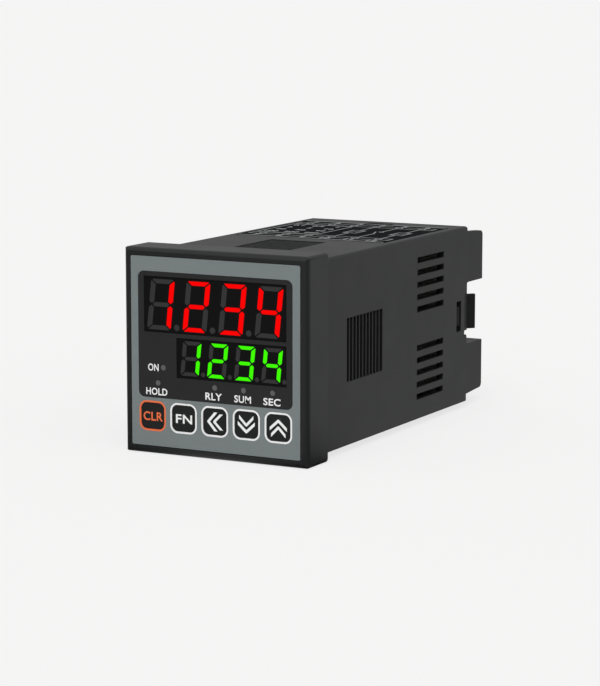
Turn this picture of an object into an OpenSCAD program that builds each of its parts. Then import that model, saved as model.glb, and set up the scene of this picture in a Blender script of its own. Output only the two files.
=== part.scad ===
// Square panel counter: two displays and five keys in a bezel, a long case behind the panel,
// and a snap-in terminal block at the rear. Millimetres. X is to the right, Y runs back through
// the panel, Z is up. The origin is the centre of the panel cut-out, on the flange's rear face.

/* [Bezel] */
// Width and height of the square front
bezel_w = 48; // [47:0.5:54]
// Depth of the bezel in front of the panel
bezel_d = 10; // [9:0.25:13]
// Width of the flange's rear face that bears on the panel
seat_w = 1.55; // [1.3:0.05:2]
// Rounding of the four front edges
bezel_edge_r = 1.5; // [0.5:0.1:1.7]
// Rounding of the corners, seen from the front
bezel_corner_r = 0.9; // [0.3:0.1:2]
// Width of the frame that shows round the overlay
rim_w = 1.95; // [1.8:0.05:2.4]
// Thickness of the front wall behind the overlay
front_wall = 2; // [1.6:0.1:2.6]
// How far the case plugs into the bezel
socket_d = 6; // [4.5:0.25:6.5]

/* [Overlay and window] */
// Thickness of the overlay
overlay_t = 0.3; // [0.2:0.05:0.5]
// How far the overlay lies below the bezel's rim
overlay_sink = 0.1; // [0.05:0.05:0.3]
// Corner rounding of the overlay
overlay_r = 0.4; // [0.2:0.1:1]
// Gap between the overlay's edge and the bezel's rim
overlay_gap = 0.15; // [0.05:0.01:0.2]
// Thickness of the window panel
window_t = 1.2; // [0.8:0.1:1.6]
// Corner rounding of the window panel
window_r = 1.5; // [0.5:0.1:2]
// From the overlay's upper edge to the window
window_drop = 3.45; // [2.8:0.05:3.8]
// From the overlay's sides to the window
window_margin = 1.95; // [1.6:0.05:2.4]
// Window frame beside the upper display
window_side = 1.55; // [1.2:0.05:1.8]
// Window frame above the upper display
window_over = 1.12; // [0.8:0.02:1.6]
// Window frame below the row of lamps
window_under = 3.45; // [3:0.05:3.9]

/* [Upper display] */
// Height of a digit, as a multiple of its width
upper_aspect = 1.86; // [1.7:0.01:1.95]
// Gap between digits
upper_space = 3.1; // [2.6:0.05:3.4]
// Width of an upright segment
upper_stroke = 1.3; // [1.1:0.05:1.6]
// Thickness of a level segment
upper_bar = 1.03; // [0.9:0.01:1.4]
// Diameter of a decimal point
upper_point_d = 1.45; // [1:0.05:1.6]
// Dark field beside the digits
upper_side = 0.68; // [0.4:0.02:0.8]

/* [Lower display] */
// Height of a digit, as a multiple of its width
lower_aspect = 1.65; // [1.5:0.01:1.7]
// Gap between digits
lower_space = 2.16; // [1.8:0.02:2.4]
// Width of an upright segment
lower_stroke = 1.04; // [0.85:0.01:1.25]
// Thickness of a level segment
lower_bar = 0.87; // [0.7:0.01:1.1]
// Diameter of a decimal point
lower_point_d = 1.1; // [0.8:0.05:1.2]
// Dark field beside the digits
lower_side = 0.86; // [0.6:0.02:0.96]
// Width of the power lamp's column, left of the lower display
lamp_column = 8.6; // [8:0.1:9.5]

/* [Both displays] */
// Slant of the digits
digit_slant = 6; // [0:0.5:9]
// Dark field above and below the digits
field_over = 0.58; // [0.3:0.01:0.6]
// Gap that parts a segment's end from the mitre line
segment_gap = 0.2; // [0.1:0.01:0.25]
// How far a digit's outer corners and a middle segment's tips are cut, as a share of an upright's width
corner_cut = 0.44; // [0.3:0.01:0.5]
// Depth of a segment's resin
segment_d = 1.2; // [0.6:0.1:2]
// Distance between the two displays
display_gap = 1.02; // [0.8:0.02:1.4]
// How far a display's face lies behind the overlay's face
display_sink = 0.15; // [0.1:0.05:0.3]

/* [Lamps] */
// Diameter of an indicator lamp
lamp_d = 1.3; // [1:0.05:1.6]
// From the lower display down to the row of lamps
lamp_drop = 1.62; // [1.3:0.02:1.9]
// From the window's sides to the outer lamps
lamp_side = 5.1; // [4.5:0.1:5.5]
// How far the power lamp stands above the row
power_lamp_up = 3.63; // [3:0.05:4.2]
// How far the power lamp stands in from the row's end
power_lamp_in = 1.45; // [0.8:0.05:2]
// Height of a lamp chip on its board
chip_h = 0.8; // [0.5:0.1:1.2]

/* [Keys] */
// From the overlay's sides to the outer keys
key_side = 2.03; // [1.6:0.01:2.4]
// Gap between the outlines of two keys
key_space = 1.2; // [1:0.05:1.5]
// Corner rounding of a key's outline
key_r = 1.9; // [1.2:0.1:2.4]
// Width of a key's outline
outline_w = 0.42; // [0.3:0.02:0.6]
// From the window down to the keys
key_drop = 0.85; // [0.6:0.05:1.1]
// Travel of a key
key_travel = 0.4; // [0.25:0.05:0.55]
// Gap round a key
key_gap = 0.1; // [0.08:0.01:0.15]
// Width of the lip that keeps a key in
key_lip = 0.5; // [0.3:0.05:0.6]
// Thickness of that lip
key_lip_t = 0.8; // [0.6:0.05:1]
// Diameter of a switch plunger
plunger_d = 3.4; // [2.8:0.1:3.8]
// How far a plunger stands out of its switch
plunger_out = 0.7; // [0.65:0.05:0.9]
// Width of a switch
switch_w = 6; // [5.5:0.1:6.5]
// Height of a switch
switch_h = 3.5; // [3:0.1:3.8]

/* [Case] */
// Depth of the case behind the panel
case_d = 80.3; // [74:0.1:95]
// Wall of the case
case_wall = 1.8; // [1.6:0.05:2]
// Rounding of the case's two upper long edges
case_top_r = 0.85; // [0.2:0.05:1.2]
// Rounding of the case's two lower long edges
case_edge_r = 0.3; // [0.2:0.05:1.2]
// Rounding of the case's rear edges
case_rear_r = 0.3; // [0.2:0.05:0.9]
// From the panel to the bracket recess
recess_from = 12.5; // [10:0.25:15]
// Length of the bracket recess
recess_len = 18.6; // [16:0.1:21]
// Width of the bracket recess
recess_w = 14.9; // [13:0.1:17]
// Depth of the grooves in the bracket recess
recess_depth = 1.1; // [0.8:0.05:1.2]
// How far the ridges lie below the surface
ridge_sink = 0.1; // [0.05:0.05:0.4]
// Number of grooves in the bracket recess
groove_count = 11; // [8:1:14]
// Width of a groove
groove_w = 1.3; // [0.8:0.02:1.36]

/* [Vents and latches] */
// From the panel to the vents
vent_from = 50.5; // [46:0.25:51]
// Length of a vent
vent_len = 15.3; // [10:0.1:16]
// Height of a vent
vent_h = 1.42; // [1:0.02:2]
// Distance from vent to vent
vent_pitch = 3.02; // [2.6:0.02:3.2]
// Height of the first vent above the middle
vent_first = 4.78; // [4:0.02:5.5]
// Vents in each half of a side
vent_count = 5; // [3:1:5]
// From the latch window to the rear of the case
latch_in = 6.5; // [5.6:0.05:7]
// Length of the latch window, front to back
latch_len = 2.7; // [2.2:0.05:3]
// Width of the latch window
latch_w = 7.7; // [6.5:0.1:9]
// Width of a latch hook
hook_w = 4.8; // [4:0.1:6]
// Depth of the notch for a latch lever
notch_d = 1.6; // [0.8:0.1:2]
// Gap beside a lever in its notch
notch_gap = 0.7; // [0.5:0.05:1.2]

/* [Terminal block] */
// How far the terminal rows reach behind the case
block_reach = 11.15; // [9.5:0.05:13]
// How far the block's sides lie inside the case's sides
block_inset = 0.8; // [0.6:0.05:1.1]
// How far the block's top lies inside the case's top
block_drop = 1.5; // [1.2:0.05:1.75]
// Taper of the rows' outer faces over their reach
block_draft = 0.6; // [0:0.05:0.8]
// Rounding of a barrier's outer corner
barrier_r = 1.2; // [1:0.1:3]
// Clear height between the two rows
row_gap = 15.8; // [14.5:0.1:17]
// Fillet between a row and the block's base
root_r = 1; // [0.5:0.1:1.5]
// Wall of a row on the side of the gap
row_wall = 1.6; // [1.2:0.1:2]
// Number of terminals in a row
bay_count = 6; // [4:1:6]
// Thickness of a row's end walls
end_wall = 1.85; // [1.5:0.05:2.2]
// Thickness of a barrier between bays
barrier_t = 1.2; // [1:0.05:1.3]
// Thickness of the block's base on the case's rear edge
base_t = 1.4; // [1:0.1:1.6]
// From the base to the floor of the bays
floor_t = 3.5; // [3:0.1:3.8]
// How far the block's skirt reaches into the case
skirt_len = 12.8; // [11.5:0.1:13.5]
// Wall of the skirt
skirt_wall = 1.4; // [1.1:0.05:1.5]
// Width of a latch lever's arm
lever_w = 9.6; // [9:0.1:10]
// Width of a lever's finger tab
tab_w = 8.9; // [8:0.1:8.9]
// How far a lever's arm lies inside the faces of the skirt's wall
lever_relief = 0.1; // [0.05:0.01:0.2]
// From the case's rear to where a lever flares out
lever_run = 4.5; // [4:0.1:6]
// Length of a lever's flared finger tab
tab_len = 2.4; // [1.8:0.1:2.5]
// Angle of the finger tab
tab_angle = 42; // [35:1:55]

/* [Terminals] */
// Gap between a bay's walls and its plate and washer
plate_side = 0.2; // [0.15:0.05:0.4]
// Length of a terminal plate
plate_len = 7.6; // [7:0.1:7.8]
// Thickness of a terminal plate
plate_t = 0.8; // [0.6:0.05:1]
// Gap between a plate and its row's wall
plate_gap = 0.5; // [0.3:0.05:0.7]
// Thickness of a clamp washer
washer_t = 0.8; // [0.6:0.05:1]
// From a plate's inner end to its screw
screw_in = 4; // [3.7:0.05:4.3]
// Diameter of a terminal screw
screw_d = 2.9; // [2.4:0.1:3]
// Length of a terminal screw under its head
screw_len = 5.6; // [5:0.1:6]
// Gap between a bay's walls and its screw's head
head_side = 0.3; // [0.2:0.05:0.5]
// Height of a terminal screw's head
screw_head_h = 1.9; // [1.5:0.1:2.2]
// Width of a terminal leg
leg_w = 1.2; // [0.8:0.1:1.6]

/* [Boards and parts on them] */
// Thickness of the circuit boards
board_t = 1.6; // [1.2:0.1:1.8]
// Gap round a board
board_gap = 0.25; // [0.15:0.05:0.3]
// Distance of the two long boards from the middle
board_x = 13; // [12.5:0.1:15]
// Height of the rails that hold the long boards
rail_h = 0.9; // [0.8:0.05:1.1]
// Thickness of a rail
rail_t = 1; // [0.8:0.05:1.2]
// Diameter of the posts in front of the display board
post_d = 1.6; // [1.2:0.1:1.8]
// Width of the transformer's core
core_w = 16; // [14:0.5:18]
// Height of the transformer's core
core_h = 14.5; // [12:0.5:16]
// Thickness of the transformer's core
core_t = 4.7; // [4:0.1:6]
// Width of the core's middle leg
core_leg = 4; // [3.5:0.1:4.5]
// From the panel to the middle of the transformer
core_y = 18; // [15:0.5:20]
// Diameter of the large filter capacitor
large_capacitor_d = 10; // [8:0.5:10]
// Length of the large filter capacitor
large_capacitor_len = 16; // [12:0.5:18]
// Diameter of the small filter capacitor
small_capacitor_d = 8; // [5:0.5:8]
// Length of the small filter capacitor
small_capacitor_len = 11.5; // [9:0.5:14]
// Distance of the capacitors from the middle
capacitor_z = 9.25; // [8.5:0.25:10]
// Length of the relay
relay_len = 20; // [18:0.5:20]
// Height of the relay on its board
relay_h = 15.3; // [13:0.1:16]
// Width of the relay
relay_w = 10; // [9:0.5:12]
// Gap between the relay and the terminal board
relay_gap = 1.2; // [1:0.1:2]
// Width of the microcontroller
chip_w = 10; // [8:0.5:12]
// From the panel to the middle of the microcontroller
controller_y = 22; // [18:0.5:26]

/* [Label] */
// From the case's sides to the label
label_side = 2.25; // [1.5:0.05:4]
// From the bracket recess to the label
label_gap = 5.3; // [2:0.1:8]
// From the rear of the case to the label
label_in = 7.3; // [6.8:0.1:10]
// Thickness of the label
label_t = 0.08; // [0.05:0.01:0.2]

/* [Clearances] */
// Gap between parts that fit into each other
fit = 0.05; // [0.02:0.01:0.08]
// Gap between the skirt and the case, and round a leg or screw
slip = 0.15; // [0.1:0.01:0.2]

/* [Hidden] */
$fn = 48;
eps = 0.01;
past = 1;

// Squares from front to back
case_w = bezel_w - 2 * seat_w;
inner_w = case_w - 2 * case_wall;
overlay_w = bezel_w - 2 * rim_w;
skirt_w = inner_w - 2 * slip;

// Depths through the front, from the bezel's face back
front = -bezel_d;
overlay_front = front + overlay_sink;
overlay_back = overlay_front + overlay_t;
wall_back = overlay_back + front_wall;
window_back = overlay_front + window_t;
display_front = overlay_front + display_sink;
lip_front = wall_back + fit;
lip_back = lip_front + key_lip_t;
switch_front = lip_back + plunger_out;
board_front = switch_front + switch_h;
board_back = board_front + board_t;
plunger_in = 0.8;
plunger_back = switch_front + plunger_in;

// Widths across the front, from the overlay's sides inward
window_w = overlay_w - 2 * window_margin;
upper_w = window_w - 2 * window_side;
lower_w = upper_w - lamp_column;
lower_x = lamp_column / 2;

// Digits that fill the width of their field, slant included
digit_count = 4;
slant = tan(digit_slant);
function fill_pitch(field_w, side, space, aspect) =
    (field_w - 2 * side + space * (1 + aspect * slant)) / (digit_count + aspect * slant);
upper_pitch = fill_pitch(upper_w, upper_side, upper_space, upper_aspect);
upper_digit_w = upper_pitch - upper_space;
upper_digit_h = upper_aspect * upper_digit_w;
upper_h = upper_digit_h + 2 * field_over;
lower_pitch = fill_pitch(lower_w, lower_side, lower_space, lower_aspect);
lower_digit_w = lower_pitch - lower_space;
lower_digit_h = lower_aspect * lower_digit_w;
lower_h = lower_digit_h + 2 * field_over;

// Keys that fill the overlay's width
key_count = 5;
key_pitch = (overlay_w - 2 * key_side + key_space) / key_count;
key_w = key_pitch - key_space;
face_w = key_w - 2 * outline_w;
face_r = key_r - outline_w;

// Heights down the front, from the overlay's upper edge
window_top = overlay_w / 2 - window_drop;
upper_z = window_top - window_over - upper_h / 2;
lower_z = upper_z - upper_h / 2 - display_gap - lower_h / 2;
lamp_z = lower_z - lower_h / 2 - lamp_drop;
window_bottom = lamp_z - window_under;
key_z = window_bottom - key_drop - key_w / 2;
window_h = window_top - window_bottom;
window_z = (window_top + window_bottom) / 2;
opening_edge = 0.4;

// Lamps: four in a row and the power lamp above the row's left end
lamp_steps = [-2, 0, 1, 2];
lamp_pitch = (window_w - 2 * lamp_side) / (lamp_steps[3] - lamp_steps[0]);
lamps = concat(
    [for (s = lamp_steps) [s * lamp_pitch, lamp_z]],
    [[lamp_steps[0] * lamp_pitch + power_lamp_in, lamp_z + power_lamp_up]]
);
lamp_chip = [1.6, chip_h, 0.8];

// Depths at the rear
block_w = case_w - 2 * block_inset;
block_h = case_w - 2 * block_drop;
base_back = case_d + base_t;
bay_floor = base_back + floor_t;
block_back = case_d + block_reach;
skirt_front = case_d - skirt_len;
end_board_front = skirt_front - board_t;
lever_rise = 1.6;
lever_root = skirt_front + lever_rise;
lever_slot = 0.7;
lever_flex = 1.3;
latch_front = case_d - latch_in;
hook_play = 0.1;
hook_len = 1.85;
hook_sink = 0.2;
flare_y = case_d + lever_run;

// Terminals: bays beside each other, in an upper and a lower row
bay_w = (block_w - 2 * end_wall - (bay_count - 1) * barrier_t) / bay_count;
bay_pitch = bay_w + barrier_t;
bay_x = [for (i = [0:bay_count - 1]) (i - (bay_count - 1) / 2) * bay_pitch];
row_in = row_gap / 2;
row_out = block_h / 2;
plate_w = bay_w - 2 * plate_side;
plate_z = row_in + row_wall + plate_gap;
screw_z = plate_z + screw_in;
leg_t = plate_t;
leg_past = 0.5;
screw_head_d = bay_w - 2 * head_side;
slot_end = 0.9;
screw_slot = [screw_head_d - 2 * slot_end, 1.1, 0.8];

// Boards
long_board_h = inner_w - 2 * board_gap;
face_x = board_x - board_t / 2;
header = [2.5, 2.5, 15.2];
coil_wall = 2.8;
bobbin_t = 1.5;
bobbin_edge = 1;
bobbin_back = core_y + core_w / 2 + bobbin_edge;
relay_front = end_board_front - relay_gap - relay_len;
capacitor_y = (bobbin_back + relay_front) / 2;
coupler = [3.5, 4.6, 6.5];
coupler_y = 40;
coupler_zs = [-10, 0, 10];

// Label on the case's top, between the bracket recess and the latch window
label_w = case_w - 2 * label_side;
label_front = recess_from + recess_len + label_gap;
label_len = case_d - label_in - label_front;

mould = "#34373a";
moulded_front = "#242626";
board_green = "#1f5a3a";
black = "#111111";

// An outline in X and Z, run from front to back
module depth(y0, y1) {
    translate([0, y1, 0])
        rotate([90, 0, 0])
            linear_extrude(y1 - y0)
                children();
}

// An outline in Y and Z, run from left to right
module across(x0, x1) {
    translate([x0, 0, 0])
        rotate([90, 0, 90])
            linear_extrude(x1 - x0)
                children();
}

// An outline in X and Y, run upward
module upright(z0, z1) {
    translate([0, 0, z0])
        linear_extrude(z1 - z0)
            children();
}

// A rectangle with round corners
module rounded(w, h, r) {
    square([w - 2 * r, h], center = true);
    square([w, h - 2 * r], center = true);
    for (x = [-1, 1], z = [-1, 1])
        translate([x * (w / 2 - r), z * (h / 2 - r)])
            circle(r);
}

// A rectangle that runs along +Y from y0 to y1, with its two corners at y0 rounded
module nose(w, y0, y1, r) {
    translate([-w / 2 + r, y0])
        square([w - 2 * r, y1 - y0]);
    translate([-w / 2, y0 + r])
        square([w, y1 - y0 - r]);
    for (x = [-1, 1])
        translate([x * (w / 2 - r), y0 + r])
            circle(r);
}

// The same at the right angle, for outlines in Y and Z
module nose_upright(w, y0, y1, r) {
    rotate(90)
        mirror([0, 1])
            nose(w, y0, y1, r);
}

// A square bar along Y with the given outline and round edges at its front end
module bar(w, y0, y1, end_r) {
    intersection() {
        depth(y0, y1)
            children();
        upright(-w, w)
            nose(w, y0, y1, end_r);
        across(-w, w)
            nose_upright(w, y0, y1, end_r);
    }
}

// The case seen from the front, rounder at its upper edges than at its lower ones
module case_outline(grow = 0) {
    w = case_w + 2 * grow;
    intersection() {
        nose(w, -w / 2, w / 2, case_edge_r + grow);
        mirror([0, 1])
            nose(w, -w / 2, w / 2, case_top_r + grow);
    }
}

// Copies on the right, top, left and bottom of the case
module each_side(turns = [0:3]) {
    for (turn = turns)
        rotate([0, -90 * turn, 0])
            children();
}

module key_place(i) {
    translate([(i - (key_count - 1) / 2) * key_pitch, 0, key_z])
        children();
}

module all_keys() {
    for (i = [0:key_count - 1])
        key_place(i)
            children();
}

module window_outline(grow = 0) {
    translate([0, window_z])
        rounded(window_w + 2 * grow, window_h + 2 * grow, window_r + grow);
}

module display_fields(grow = 0) {
    translate([0, upper_z])
        square([upper_w + 2 * grow, upper_h + 2 * grow], center = true);
    translate([lower_x, lower_z])
        square([lower_w + 2 * grow, lower_h + 2 * grow], center = true);
}

// Front

module posts() {
    post_x = inner_w / 2 - post_d / 2 - slip;
    for (x = [-post_x, post_x], z = [post_x, lamp_z])
        translate([x, 0, z])
            depth(wall_back - eps, board_front)
                circle(post_d / 2);
}

module front_bezel() {
    opening_top = upper_z + upper_h / 2 + opening_edge;
    opening_bottom = lamp_z - lamp_d / 2 - opening_edge;
    color(moulded_front) {
        difference() {
            bar(bezel_w, front, 0, bezel_edge_r)
                rounded(bezel_w, bezel_w, bezel_corner_r);
            depth(front - past, overlay_back)
                rounded(overlay_w + 2 * overlay_gap, overlay_w + 2 * overlay_gap, overlay_r + overlay_gap);
            depth(overlay_back - eps, window_back)
                window_outline(fit);
            depth(window_back - eps, wall_back + past)
                translate([0, (opening_top + opening_bottom) / 2])
                    square([upper_w + 2 * opening_edge, opening_top - opening_bottom], center = true);
            all_keys()
                depth(overlay_back - eps, wall_back + past)
                    rounded(face_w, face_w, face_r);
            depth(wall_back, -socket_d + eps)
                square(inner_w, center = true);
            depth(-socket_d, past)
                case_outline(fit);
        }
        posts();
    }
}

module front_overlay() {
    color("#78807e")
        difference() {
            depth(overlay_front, overlay_back)
                rounded(overlay_w, overlay_w, overlay_r);
            depth(overlay_front - past, overlay_back + past)
                window_outline(fit);
            all_keys()
                depth(overlay_front - past, overlay_back + past)
                    rounded(key_w, key_w, key_r);
        }
}

module display_window() {
    color("#2e2e2e")
        difference() {
            depth(overlay_front, window_back)
                window_outline();
            depth(overlay_front - past, window_back + past)
                display_fields(fit);
            for (p = lamps)
                translate([p.x, 0, p.y])
                    depth(overlay_front - past, window_back + past)
                        circle(lamp_d / 2 + fit);
        }
}

// Seven-segment digits: a is the top bar, then clockwise to f, and g is the middle bar

function lean(points) = [for (p = points) [p.x + p.y * slant, p.y]];
function flip_x(points) = [for (p = points) [-p.x, p.y]];
function flip_z(points) = [for (p = points) [p.x, -p.y]];

function cut_share(t, b) = (corner_cut * t - segment_gap) / (t + b);
function top_corner(w, h, t, b) = [
    [w / 2 - corner_cut * t, h / 2],
    [w / 2 - segment_gap - cut_share(t, b) * t, h / 2 - cut_share(t, b) * b],
    [w / 2 - segment_gap - t, h / 2 - b]
];
function turned_back(points) = [for (i = [1:len(points)]) points[len(points) - i]];
function top_bar(w, h, t, b) =
    concat(top_corner(w, h, t, b), turned_back(flip_x(top_corner(w, h, t, b))));
function upper_right_bar(w, h, t, b) = [
    [w / 2, h / 2 - corner_cut * t],
    [w / 2, b / 2 + segment_gap],
    [(w - t) / 2, segment_gap],
    [w / 2 - t, b / 2 + segment_gap],
    [w / 2 - t, h / 2 - b - segment_gap],
    [w / 2 - cut_share(t, b) * t, h / 2 - segment_gap - cut_share(t, b) * b]
];
function middle_tip(w, t, b) = [
    [w / 2 - t - segment_gap, b / 2],
    [(w - t) / 2 - segment_gap - cut_share(t, b) * t, cut_share(t, b) * b],
    [(w - t) / 2 - segment_gap - cut_share(t, b) * t, -cut_share(t, b) * b],
    [w / 2 - t - segment_gap, -b / 2]
];
function middle_bar(w, t, b) = concat(middle_tip(w, t, b), turned_back(flip_x(middle_tip(w, t, b))));
function segment(s, w, h, t, b) =
    s == "a" ? top_bar(w, h, t, b) :
    s == "b" ? upper_right_bar(w, h, t, b) :
    s == "c" ? flip_z(upper_right_bar(w, h, t, b)) :
    s == "d" ? flip_z(top_bar(w, h, t, b)) :
    s == "e" ? flip_z(flip_x(upper_right_bar(w, h, t, b))) :
    s == "f" ? flip_x(upper_right_bar(w, h, t, b)) :
    middle_bar(w, t, b);

// Segments that are lit in the digits 1, 2, 3 and 4
lit = ["bc", "abdeg", "abcdg", "bcfg"];
function is_lit(i, s) = len(search(s, lit[i])) > 0;

module segments(w, h, t, b, pitch, want_lit) {
    for (i = [0:digit_count - 1], s = ["a", "b", "c", "d", "e", "f", "g"])
        if (is_lit(i, s) == want_lit)
            translate([(i - (digit_count - 1) / 2) * pitch, 0])
                polygon(lean(segment(s, w, h, t, b)));
}

module points(h, pitch, d, count) {
    for (i = [0:count - 1])
        translate([(i - digit_count / 2 + 1) * pitch - (h - d) / 2 * slant, (d - h) / 2])
            circle(d / 2);
}

module upper_segments(want_lit) {
    translate([0, 0, upper_z])
        depth(display_front, display_front + segment_d)
            segments(upper_digit_w, upper_digit_h, upper_stroke, upper_bar, upper_pitch, want_lit);
}

module lower_segments(want_lit) {
    translate([lower_x, 0, lower_z])
        depth(display_front, display_front + segment_d)
            segments(lower_digit_w, lower_digit_h, lower_stroke, lower_bar, lower_pitch, want_lit);
}

module upper_points() {
    translate([0, 0, upper_z])
        depth(display_front, display_front + segment_d)
            points(upper_digit_h, upper_pitch, upper_point_d, digit_count - 1);
}

module lower_points() {
    translate([lower_x, 0, lower_z])
        depth(display_front, display_front + segment_d)
            points(lower_digit_h, lower_pitch, lower_point_d, digit_count);
}

module upper_display() {
    color(black)
        difference() {
            translate([0, 0, upper_z])
                depth(display_front, board_front)
                    square([upper_w, upper_h], center = true);
            upper_segments(true);
            upper_segments(false);
            upper_points();
        }
}

module upper_lit_segments() {
    color("#ff0000")
        upper_segments(true);
}

module upper_dark_segments() {
    color("#363636") {
        upper_segments(false);
        upper_points();
    }
}

module lower_display() {
    color(black)
        difference() {
            translate([lower_x, 0, lower_z])
                depth(display_front, board_front)
                    square([lower_w, lower_h], center = true);
            lower_segments(true);
            lower_segments(false);
            lower_points();
        }
}

module lower_lit_segments() {
    color("#40ff00")
        lower_segments(true);
}

module lower_dark_segments() {
    color("#363636") {
        lower_segments(false);
        lower_points();
    }
}

// Lamps: light pipes from the window's face back to the chips on the board

module indicator_lamps() {
    color("#585858")
        for (p = lamps)
            translate([p.x, 0, p.y])
                depth(overlay_front + fit, board_front - chip_h)
                    circle(lamp_d / 2);
}

module lamp_chips() {
    color("#e8e2cf")
        for (p = lamps)
            translate([p.x, board_front - chip_h / 2, p.y])
                cube(lamp_chip, center = true);
}

// Keys, their outlines, plungers and switches

module outline_ring() {
    depth(overlay_front, overlay_back)
        difference() {
            rounded(key_w, key_w, key_r);
            rounded(face_w, face_w, face_r);
        }
}

module reset_outline() {
    color("#eb6e3c")
        key_place(0)
            outline_ring();
}

module key_outlines() {
    color("#f0f0f0")
        for (i = [1:key_count - 1])
            key_place(i)
                outline_ring();
}

module key(i) {
    cap_w = face_w - 2 * key_gap;
    cap_r = face_r - key_gap;
    color("#2e2e2e")
        key_place(i) {
            depth(overlay_front, lip_back)
                rounded(cap_w, cap_w, cap_r);
            depth(lip_front, lip_back)
                rounded(cap_w + 2 * key_lip, cap_w + 2 * key_lip, cap_r);
        }
}

module plunger(i) {
    color("#8f3a2c")
        key_place(i)
            depth(lip_back, plunger_back)
                circle(plunger_d / 2);
}

module reset_key() {
    key(0);
}

module function_key() {
    key(1);
}

module left_key() {
    key(2);
}

module down_key() {
    key(3);
}

module up_key() {
    key(4);
}

module reset_plunger() {
    plunger(0);
}

module function_plunger() {
    plunger(1);
}

module left_plunger() {
    plunger(2);
}

module down_plunger() {
    plunger(3);
}

module up_plunger() {
    plunger(4);
}

module key_switches() {
    well_back = plunger_back + key_travel + slip;
    color("#1c1c1e")
        all_keys()
            difference() {
                depth(switch_front, board_front)
                    square(switch_w, center = true);
                depth(switch_front - past, well_back)
                    circle(plunger_d / 2 + key_gap);
            }
}

module display_board() {
    color(board_green)
        depth(board_front, board_back)
            square(inner_w - 2 * board_gap, center = true);
}

// Case

module recess_cut() {
    ridge_pitch = (recess_len - groove_w) / (groove_count - 1);
    surface = case_w / 2;
    difference() {
        translate([surface - recess_depth, recess_from, -recess_w / 2])
            cube([recess_depth + past, recess_len, recess_w]);
        for (i = [0:groove_count - 2])
            translate([surface - recess_depth - past, recess_from + i * ridge_pitch + groove_w, -recess_w])
                cube([recess_depth + past - ridge_sink, ridge_pitch - groove_w, 2 * recess_w]);
    }
}

module latch_cut() {
    translate([inner_w / 2 - past, latch_front, -latch_w / 2])
        cube([case_wall + 2 * past, latch_len, latch_w]);
}

module notch_cut() {
    notch_w = lever_w + 2 * notch_gap;
    translate([inner_w / 2 - past, case_d - notch_d, -notch_w / 2])
        cube([case_wall + 2 * past, notch_d + past, notch_w]);
}

module vent_cuts() {
    for (half = [-1, 1], i = [0:vent_count - 1])
        translate([inner_w / 2 - past, vent_from, half * (vent_first + i * vent_pitch) - vent_h / 2])
            cube([case_wall + 2 * past, vent_len, vent_h]);
}

// Pairs of ribs on the case's floor and ceiling that hold the two long boards
module rails() {
    slot_w = board_t + 2 * fit;
    for (x = [-board_x, board_x], side = [-1, 1], z = [-1, 1])
        translate([
            x + side * (slot_w + rail_t) / 2 - rail_t / 2,
            board_back,
            z * (inner_w + eps - rail_h) / 2 - (rail_h + eps) / 2
        ])
            cube([rail_t, end_board_front - board_back, rail_h + eps]);
}

module rear_case() {
    color(mould)
        difference() {
            union() {
                difference() {
                    translate([0, case_d, 0])
                        mirror([0, 1, 0])
                            bar(case_w, 0, case_d + socket_d, case_rear_r)
                                case_outline();
                    depth(-socket_d - past, case_d + past)
                        square(inner_w, center = true);
                }
                rails();
            }
            each_side() {
                recess_cut();
                latch_cut();
            }
            each_side([0, 2]) {
                vent_cuts();
                notch_cut();
            }
        }
}

module wiring_label() {
    color("#2b2c2e")
        translate([-label_w / 2, label_front, case_w / 2])
            cube([label_w, label_len, label_t]);
}

// Terminal block

// Side view of a barrier: drafted outer face, round outer corner
module barrier_outline() {
    run = block_back - base_back;
    round_y = block_back - barrier_r;
    tip_z = row_out - block_draft * (run - barrier_r) / run;
    polygon([
        [case_d, row_in],
        [block_back, row_in],
        [block_back, tip_z - barrier_r],
        [round_y, tip_z],
        [base_back, row_out],
        [case_d, row_out]
    ]);
    translate([round_y, tip_z - barrier_r])
        circle(barrier_r);
}

// Side view of the fillet in the corner between a row and the base
module root_outline() {
    difference() {
        translate([base_back - eps, row_in - root_r])
            square([root_r + eps, root_r + eps]);
        translate([base_back + root_r, row_in - root_r])
            circle(root_r);
    }
}

// The part of a barrier's outline below the floor of the bays
module floor_outline() {
    intersection() {
        barrier_outline();
        translate([case_d - past, 0])
            square([bay_floor - case_d + past, row_out + past]);
    }
}

module terminal_row() {
    bays_w = bay_count * bay_pitch - barrier_t;
    across(-block_w / 2, block_w / 2)
        floor_outline();
    across(-block_w / 2, block_w / 2)
        root_outline();
    across(-block_w / 2, block_w / 2)
        translate([bay_floor - eps, row_in])
            square([block_back - bay_floor + eps, row_wall]);
    for (side = [-1, 1])
        across(min(side * bays_w, side * block_w) / 2, max(side * bays_w, side * block_w) / 2)
            barrier_outline();
    for (i = [1:bay_count - 1])
        translate([(bay_x[i - 1] + bay_x[i]) / 2, 0, 0])
            across(-barrier_t / 2, barrier_t / 2)
                barrier_outline();
}

module skirt() {
    depth(skirt_front, case_d + eps)
        difference() {
            square(skirt_w, center = true);
            square(skirt_w - 2 * skirt_wall, center = true);
        }
}

// Room for a latch lever to bend inward, cut through skirt and base
module lever_cut() {
    cut_w = lever_w + 2 * lever_slot;
    translate([skirt_w / 2 - skirt_wall - lever_flex, lever_root, -cut_w / 2])
        cube([skirt_wall + lever_flex + block_w, base_back + past - lever_root, cut_w]);
}

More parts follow.
